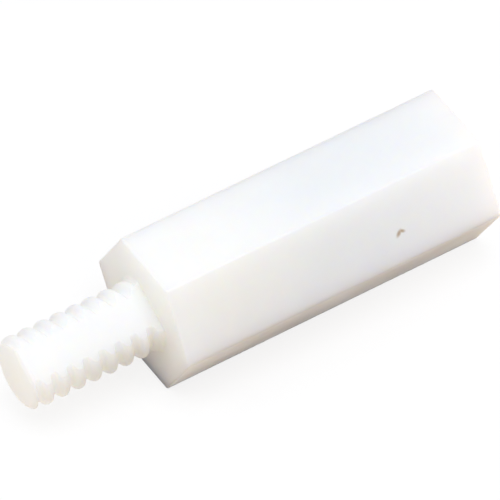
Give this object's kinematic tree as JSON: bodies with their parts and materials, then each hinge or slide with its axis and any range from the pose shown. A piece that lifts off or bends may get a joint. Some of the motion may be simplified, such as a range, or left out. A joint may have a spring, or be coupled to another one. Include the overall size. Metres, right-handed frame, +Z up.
{
  "type": "hex standoff",
  "caption": "White moulded nylon hex spacer with a threaded stud on its shoulder and a blind threaded socket in the other end, for holding a board off a panel.",
  "frame": {"origin": "on the axis, in the shoulder plane where the stud leaves the hex", "axes": "+X along the axis from the shoulder to the socket end, so the stud points to -X; +Z up, square to the flat that it lies on"},
  "size_m": [0.0222, 0.0072, 0.0062],
  "materials": {
    "nylon": "natural white nylon as moulded, with a soft sheen"
  },
  "bodies": {
    "root": {"standoff": "nylon"}
  },
  "joints": []
}
